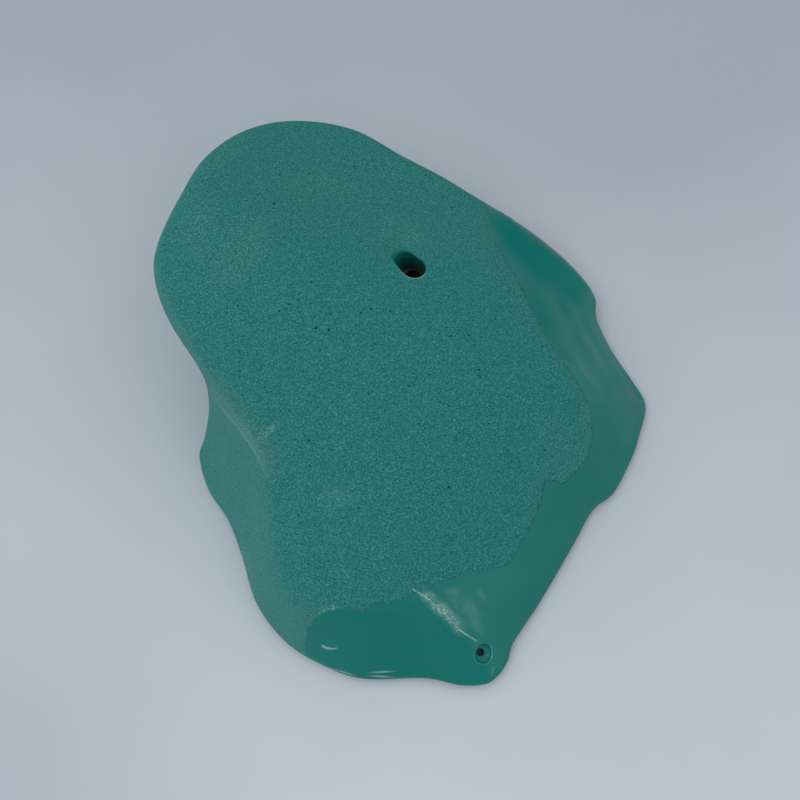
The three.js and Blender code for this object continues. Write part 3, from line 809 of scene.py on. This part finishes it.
def cast_polyurethane(tree, coords):
    """Cast polyurethane from a mould with two textures: a sandy one that scatters the light, with
    painted shade in its pits, and a polished one that shows soft reflections."""
    # The skins are parted by an edge that is ragged by a grain or two
    distance, crest = (
        add(tree, "ShaderNodeAttribute", attribute_name=name).outputs["Fac"]
        for name in ("texture_edge", "left_crest")
    )
    ragged = add(
        tree, "ShaderNodeTexNoise",
        {"Vector": coords, "Scale": 1 / (2.6 * MM), "Detail": 3, "Roughness": 0.65},
    )
    ragged = add(
        tree, "ShaderNodeMapRange",
        {"Value": ragged, "From Min": 0.25, "From Max": 0.75, "To Min": -1.3, "To Max": 1.3},
    )
    edge = add(tree, "ShaderNodeMath", {0: distance, 1: ragged}, operation="ADD")
    sandy = add(tree, "ShaderNodeMapRange", {"Value": edge, "From Min": -0.2, "From Max": 0.2})
    speckle = add(
        tree, "ShaderNodeTexNoise",
        {"Vector": coords, "Scale": 1 / (1.25 * MM), "Detail": 2, "Roughness": 0.7},
    )

    # The rough skin rolls over the left crest and is smoother there, with the painted grey sheen of
    # the steep sides and a thin painted highlight along the crest
    crest_span = mark(tree, coords, (-104, -40), -58, (36, 16), 0.5)
    worn, crest_highlight = (
        add(tree, "ShaderNodeMath", {0: share, 1: crest_span}, operation="MULTIPLY")
        for share in (band(tree, crest, 0.5, 1, 4), band(tree, crest, 0.3, 0.2, 0.9, 0.13))
    )

    # Hands leave a grey dust on the face beside that crest
    crest_dust = add(
        tree, "ShaderNodeMapRange",
        {"Value": crest, "From Min": 17, "From Max": 3, "To Max": 0.15},
        interpolation_type="SMOOTHSTEP",
    )
    face_side = add(tree, "ShaderNodeMapRange", {"Value": crest, "From Min": -1, "From Max": 1.5})
    for share in (face_side, mark(tree, coords, (-98, -36), -58, (44, 26), 0.5)):
        crest_dust = add(tree, "ShaderNodeMath", {0: crest_dust, 1: share}, operation="MULTIPLY")

    # Broken dark line of small steps where the two skins meet, plainest on the right
    breaks = add(
        tree, "ShaderNodeMapRange",
        {"Value": ragged, "From Min": -0.5, "From Max": 0.4, "To Min": 0.3, "To Max": 0},
    )
    right_side = mark(tree, coords, (100, 10), 0, (60, 140), 0.3)
    right_side = add(
        tree, "ShaderNodeMapRange", {"Value": right_side, "To Min": 0.25, "To Max": 2.4},
    )
    seam = band(tree, edge, -0.1, 0.2, 0.5)
    for share in (breaks, right_side):
        seam = add(tree, "ShaderNodeMath", {0: seam, 1: share}, operation="MULTIPLY")

    rough_colour, flat, relief = rough_skin(tree, coords, speckle, sandy, worn)
    scuff_and_highlight = pale_scuffs_and_highlights(tree, coords, speckle, edge)
    colour, layers = polished_skin(tree, coords)
    layers += (
        (sandy, rough_colour), (seam, "#06443f"), (scuff_and_highlight, "#cfe2df"), (crest_highlight, "#8fb8b6"),
        (crest_dust, "#70787a"),
    )
    roughness = add(
        tree, "ShaderNodeMapRange", {"Value": flat, "From Min": 0.8, "To Min": 0.55, "To Max": 0.8},
    )
    roughness = add(
        tree, "ShaderNodeMapRange", {"Value": sandy, "To Min": 0.27, "To Max": roughness},
    )
    roughness = add(
        tree, "ShaderNodeMapRange", {"Value": scuff_and_highlight, "To Min": roughness, "To Max": 0.8},
    )
    swell = add(tree, "ShaderNodeTexNoise", {"Vector": coords, "Scale": 1 / (11 * MM), "Detail": 1})
    normal = add(tree, "ShaderNodeBump", {"Height": swell, "Distance": 0.05 * MM})
    for height, depth in ((sandy, 0.2), (relief, 0.16)):
        normal = add(
            tree, "ShaderNodeBump", {"Height": height, "Distance": depth * MM, "Normal": normal},
        )
    return colour, layers, {
        "Roughness": roughness, "Specular IOR Level": GLOSS, "Normal": normal,
    }


def core_moulded_polyurethane(tree, coords):
    """The same polyurethane where it set against the core of the mould: smooth and matte, with the
    open bubbles that rise to the back of a pour, painted dark as shade."""
    swell = add(tree, "ShaderNodeTexNoise", {"Vector": coords, "Scale": 1 / (9 * MM), "Detail": 3})
    bubbles = open_bubbles(tree, coords, 11 * MM, 0.5, 0.12)
    height = add(tree, "ShaderNodeMath", {0: swell, 1: bubbles}, operation="SUBTRACT")
    return "#0e625c", ((swell, "#18716a"), (bubbles, "#07443f")), {
        "Roughness": 0.5, "Specular IOR Level": GLOSS,
        "Normal": add(tree, "ShaderNodeBump", {"Height": height, "Distance": 0.4 * MM}),
    }


def pin_moulded_polyurethane(tree, coords):
    """Polyurethane against a turned steel pin: glossy, painted darker than the open skin as shade,
    with the turning marks of the pin round the wall of the hole, painted light at its mouth and
    painted shade with some dirt towards its bottom."""
    level = add(tree, "ShaderNodeMapping", {"Vector": coords, "Scale": (25, 25, 1 / (4 * MM))})
    rings = add(tree, "ShaderNodeTexNoise", {"Vector": level, "Scale": 1, "Detail": 2})
    marks = add(tree, "ShaderNodeMapRange", {"Value": rings, "From Min": 0.35, "From Max": 0.65})
    height = add(tree, "ShaderNodeSeparateXYZ", {0: coords}).outputs["Z"]
    # Painted light towards the mouth, and painted shade with some dirt towards the bottom
    painted_light, grime_and_painted_shade = (
        add(
            tree, "ShaderNodeMapRange",
            {"Value": height, "From Min": start * MM, "From Max": end * MM, "To Max": most},
        )
        for start, end, most in ((71, 81, 0.9), (74, 62, 0.7))
    )
    # The wall's base colour is darker than the open skin's, as painted shade inside the hole
    return "#0a544e", ((marks, "#228880"), (painted_light, "#2f7c78"), (grime_and_painted_shade, "#062f2b")), {
        "Roughness": 0.3, "Specular IOR Level": GLOSS,
        "Normal": add(tree, "ShaderNodeBump", {"Height": rings, "Distance": 0.8 * MM}),
    }


def sanded_polyurethane(tree, coords):
    """Polyurethane levelled on a belt sander: pale, matte and scratched one way, with its pits
    painted dark as shade. The scratches are drawn coarse enough to show."""
    along = add(
        tree, "ShaderNodeMapping",
        {
            "Vector": coords, "Rotation": (0, 0, math.radians(18)),
            "Scale": (1 / (30 * MM), 1 / (0.7 * MM), 1),
        },
    )
    scratches = add(tree, "ShaderNodeTexNoise", {"Vector": along, "Scale": 1, "Detail": 3})
    # Pits, painted dark as shade
    pit = add(tree, "ShaderNodeTexVoronoi", {"Vector": coords, "Scale": 1 / (7 * MM)})
    pits = add(
        tree, "ShaderNodeMapRange",
        {"Value": pit.outputs["Distance"], "From Min": 0.09, "From Max": 0.06},
    )
    height = add(tree, "ShaderNodeMath", {0: scratches, 1: pits}, operation="SUBTRACT")
    return "#2a7b75", ((scratches, "#4c958f"), (pits, "#0b4d48")), {
        "Roughness": 0.75, "Specular IOR Level": GLOSS,
        "Normal": add(tree, "ShaderNodeBump", {"Height": height, "Distance": 0.1 * MM}),
    }


def zinc_plated_steel(tree, coords):
    """Steel washer whose zinc plating has gone matte and brown in places: a metal painted dark grey
    as shade, its reflections blurred by the crystals of the plating, which are drawn coarse enough
    to show."""
    crystals = add(
        tree, "ShaderNodeTexNoise", {"Vector": coords, "Scale": 1 / (0.8 * MM), "Detail": 3},
    )
    tarnish = add(
        tree, "ShaderNodeTexNoise", {"Vector": coords, "Scale": 1 / (5 * MM), "Detail": 2},
    )
    tarnish = add(
        tree, "ShaderNodeMapRange",
        {"Value": tarnish, "From Min": 0.45, "From Max": 0.7, "To Max": 0.5},
    )
    # Painted dark grey as shade inside the holes, with brown tarnish
    return "#3a3b3a", ((crystals, "#626462"), (tarnish, "#39342a")), {
        "Metallic": 1,
        "Roughness": add(
            tree, "ShaderNodeMapRange", {"Value": crystals, "To Min": 0.3, "To Max": 0.5},
        ),
        "Normal": add(
            tree, "ShaderNodeBump", {"Height": crystals, "Strength": 0.5, "Distance": 0.03 * MM},
        ),
    }


def pale_card(tree, coords):
    """Pale grey card with a slight blue cast: matte, smudged and scratched by use, in scratches
    that are drawn coarse enough to show, with painted light and shade: a little darker at the back,
    and in lighter and darker patches."""
    # Painted light and shade: darker towards the back, and in lighter and darker patches
    level = add(
        tree, "ShaderNodeVectorMath", {0: coords, 1: (0.14, -0.99, 0)}, operation="DOT_PRODUCT",
    )
    clouds = add(tree, "ShaderNodeTexNoise", {"Vector": coords, "Scale": 7, "Detail": 3})
    smudge = add(
        tree, "ShaderNodeMapRange",
        {"Value": clouds, "From Min": 0.3, "From Max": 0.7, "To Min": -0.04, "To Max": 0.04},
    )
    patches = [
        mark(tree, coords, centre, 0, size, 1, amount) for centre, size, amount in CARD_PATCHES
    ]
    for change in (smudge, *patches):
        level = add(tree, "ShaderNodeMath", {0: level, 1: change}, operation="ADD")
    level = add(tree, "ShaderNodeMapRange", {"Value": level, "From Min": -0.36, "From Max": 0.26})
    along = add(
        tree, "ShaderNodeMapping",
        {"Vector": coords, "Rotation": (0, 0, math.radians(34)), "Scale": (10, 260, 1)},
    )
    scratches = add(tree, "ShaderNodeTexNoise", {"Vector": along, "Scale": 1, "Detail": 2})
    scratches = add(
        tree, "ShaderNodeMapRange",
        {"Value": scratches, "From Min": 0.7, "From Max": 0.78, "To Max": 0.12},
    )
    return "#a0abb6", ((level, "#bfc9d1"), (scratches, "#a3abb3")), {"Roughness": 0.75}


# Casting

def line_distances(plan, line):
    """Distance of points to a line in millimetres, positive on the left of its direction."""
    nearest = np.full(len(plan), np.inf)
    side = np.ones(len(plan))
    for start, end in zip(line, line[1:]):
        run = end - start
        offset = plan / MM - start
        share = np.clip((offset @ run) / (run @ run), 0, 1)
        gap = np.linalg.norm(offset - share[:, None] * run, axis=1)
        closer = gap < nearest
        nearest = np.where(closer, gap, nearest)
        on_left = run[0] * offset[:, 1] >= run[1] * offset[:, 0]
        side = np.where(closer, np.where(on_left, 1, -1), side)
    return nearest * side


def edge_distances(plan):
    """Distance of points to the texture's edge in millimetres, positive on the rough side."""
    x, y = plan.T / MM
    loop = np.concatenate((TEXTURE_EDGE, TEXTURE_EDGE[:1]))
    inside = np.zeros(len(plan), bool)
    for start, end in zip(loop, loop[1:]):
        crosses = (start[1] > y) != (end[1] > y)
        rise = end[1] - start[1] or 1
        inside ^= crosses & (x < start[0] + (y - start[1]) / rise * (end[0] - start[0]))
    return np.where(inside, 1, -1) * np.abs(line_distances(plan, loop))


def bolt_rim_distances(points):
    """How far points are out from the wall of the head bore, in millimetres, at their height."""
    rise = ((points[:, 2:] - seat) / (mouth_top - seat)).clip(0)
    (first, first_radius), (second, second_radius) = MOUTH_CIRCLES
    reaches = []
    for share in np.linspace(0, 1, RIM_STEPS):
        lean = np.array(first.lerp(second, share)) * rise
        flare = first_radius + (second_radius - first_radius) * share - HEAD_BORE_RADIUS
        away = np.linalg.norm(points[:, :2] - bolt_place - lean, axis=1)
        reaches.append(away - HEAD_BORE_RADIUS - flare * rise[:, 0])
    return np.min(reaches, axis=0) / MM


def screw_rim_distances(points):
    """How far points are out from the rim of the screw recess, in millimetres."""
    offset = points - recess_centre
    offset -= (offset @ recess_axis)[:, None] * recess_axis
    offset[:, 1] -= offset[:, 1].clip(-RECESS_STRETCH, RECESS_STRETCH)
    return (np.linalg.norm(offset, axis=1) - RECESS_RADIUS) / MM


def make_cutters(polyurethane, core_moulded, pin_moulded):
    """What is taken out of the casting: the hollow of its back, both holes with their washers'
    pockets, and the recess round the screw."""
    hollow = softened(new_object("hollow", make_hollow(), core_moulded))
    gap = WASHER_CLEARANCE
    (bolt_pocket, bolt_bottom, bolt_top), (screw_pocket, screw_bottom, screw_top) = (
        ((high.x - low.x) / 2 + gap, low.z - gap, high.z + gap)
        for low, high in ((bolt_low, bolt_high), (screw_low, screw_high))
    )
    bolt = turned("bolt_hole", (
        (0, -OVERRUN), (SHANK_BORE_RADIUS, -OVERRUN), (SHANK_BORE_RADIUS, bolt_bottom),
        (bolt_pocket, bolt_bottom), (bolt_pocket, bolt_top), (0, bolt_top),
    ), bolt_place, pin_moulded)
    head_bore = hull("head_bore", [
        ((bolt_place + lean).to_3d() + UPRIGHT * height, UPRIGHT, radius)
        for lean, height, radius in (
            (Vector((0, 0)), seat, HEAD_BORE_RADIUS),
            *((lean, mouth_top, radius) for lean, radius in MOUTH_CIRCLES),
        )
    ], pin_moulded)
    above = GRIP_DEPTH + OVERRUN
    screw = turned("screw_hole", (
        (0, -OVERRUN), (SCREW_BORE_RADIUS, -OVERRUN), (SCREW_BORE_RADIUS, above), (0, above),
    ), screw_place + SCREW_BORE_LEAN, pin_moulded)
    screw_slot = turned("screw_pocket", (
        (0, screw_bottom), (screw_pocket, screw_bottom), (screw_pocket, screw_top), (0, screw_top),
    ), screw_place, pin_moulded)
    recess = hull("screw_recess", [
        (
            recess_centre + Vector((0, way * RECESS_STRETCH, 0)) - recess_axis * depth, recess_axis,
            radius,
        )
        for depth, radius in RECESS_RINGS for way in (-1, 1)
    ], polyurethane)
    return [hollow, bolt, head_bore, screw, screw_slot, recess]


def make_casting():
    polyurethane, core_moulded, pin_moulded, sanded = materials = [
        new_material(describe) for describe in (
            cast_polyurethane, core_moulded_polyurethane, pin_moulded_polyurethane,
            sanded_polyurethane,
        )
    ]
    casting = new_object("grip_casting", make_outer(), *materials)
    for face in casting.data.polygons:
        if face.normal.z < -0.99 and face.center.z < TOUCH:
            face.material_index = materials.index(sanded)
    cut(casting, make_cutters(polyurethane, core_moulded, pin_moulded))
    mesh = casting.data
    points = np.empty(len(mesh.vertices) * 3, np.float32)
    mesh.vertices.foreach_get("co", points)
    points = points.reshape(-1, 3).astype(float)
    plan = points[:, :2]
    for name, values in (
        ("texture_edge", edge_distances(plan)),
        ("crest_rub", line_distances(plan, RUBBED_CREST)),
        ("left_crest", line_distances(plan, LEFT_CREST)),
        ("bolt_rim", bolt_rim_distances(points)),
        ("screw_rim", screw_rim_distances(points)),
    ):
        mesh.attributes.new(name, "FLOAT", "POINT").data.foreach_set("value", values)
    mesh.set_sharp_from_angle(angle=SHARP_ANGLE)
    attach(casting, "root")
    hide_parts("grip_body")


make_casting()
steel = new_material(zinc_plated_steel)
for name in ("bolt_washer", "screw_washer"):
    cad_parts[name].data.materials.clear()
    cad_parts[name].data.materials.append(steel)


# Studio

def make_floor():
    bm = bmesh.new()
    bmesh.ops.create_grid(bm, x_segments=1, y_segments=1, size=FLOOR_REACH)
    floor = new_object("floor", bm, new_material(pale_card))
    floor.location.z = -FLOOR_DROP


def make_world():
    """A soft tent, evenly lit from above. Low down it is bright at the left, grey at the front and
    the right, and dark at the back right. The camera and its tripod cover a part of it."""
    world = bpy.data.worlds.new("studio")
    world.use_nodes = True
    tree = world.node_tree
    tree.nodes.clear()
    coords = add(tree, "ShaderNodeTexCoord").outputs["Generated"]
    axes = add(tree, "ShaderNodeSeparateXYZ", {0: coords})
    bearing = add(
        tree, "ShaderNodeMath", {0: axes.outputs["Y"], 1: axes.outputs["X"]}, operation="ARCTAN2",
    )
    bearing = add(
        tree, "ShaderNodeMapRange", {"Value": bearing, "From Min": -math.pi, "From Max": math.pi},
    )
    low = add(tree, "ShaderNodeValToRGB", {0: bearing})
    low.color_ramp.interpolation = "EASE"
    for place, colour in LOW_SKY:
        low.color_ramp.elements.new(place).color = srgb(colour)
    for spare in (0, -1):
        low.color_ramp.elements.remove(low.color_ramp.elements[spare])
    share = add(
        tree, "ShaderNodeMapRange", {"Value": axes.outputs["Z"], "From Min": 0.3, "From Max": 0.56},
        interpolation_type="SMOOTHSTEP",
    )
    colour = add(
        tree, "ShaderNodeMix", {0: share, 6: low.outputs["Color"], 7: "#ffffff"}, data_type="RGBA",
    ).outputs[2]
    for direction, amount in COVERED_SKY:
        covered = add(
            tree, "ShaderNodeVectorMath", {0: coords, 1: direction}, operation="DOT_PRODUCT",
        )
        covered = add(
            tree, "ShaderNodeMapRange",
            {
                "Value": covered, "From Min": math.cos(COVER_END),
                "From Max": math.cos(COVER_FULL), "To Max": amount,
            },
            interpolation_type="SMOOTHSTEP",
        )
        colour = add(
            tree, "ShaderNodeMix", {0: covered, 6: colour, 7: "#585a5c"}, data_type="RGBA",
        ).outputs[2]
    shader = add(tree, "ShaderNodeBackground", {"Color": colour, "Strength": SKY_STRENGTH})
    add(tree, "ShaderNodeOutputWorld", {"Surface": shader})
    bpy.context.scene.world = world


def link_aimed(name, data, place, away):
    """Links an object at a place, looking straight against a direction."""
    made = bpy.data.objects.new(name, data)
    made.location = place
    made.rotation_euler = away.to_track_quat("Z", "Y").to_euler()
    bpy.context.scene.collection.objects.link(made)
    return made


def make_lamp():
    data = bpy.data.lights.new("overhead", "AREA")
    data.shape = "DISK"
    data.size = LAMP_SIZE
    data.energy = LAMP_POWER
    link_aimed("overhead", data, LAMP_PLACE, LAMP_PLACE)


def make_camera():
    data = bpy.data.cameras.new("camera")
    data.lens = CAMERA_LENS
    data.sensor_width = CAMERA_SENSOR
    away = Vector((0, -math.cos(CAMERA_ELEVATION), math.sin(CAMERA_ELEVATION)))
    place = CAMERA_TARGET + away * CAMERA_DISTANCE
    bpy.context.scene.camera = link_aimed("camera", data, place, away)


make_floor()
make_world()
make_lamp()
make_camera()
bpy.context.scene.view_settings.view_transform = "Standard"
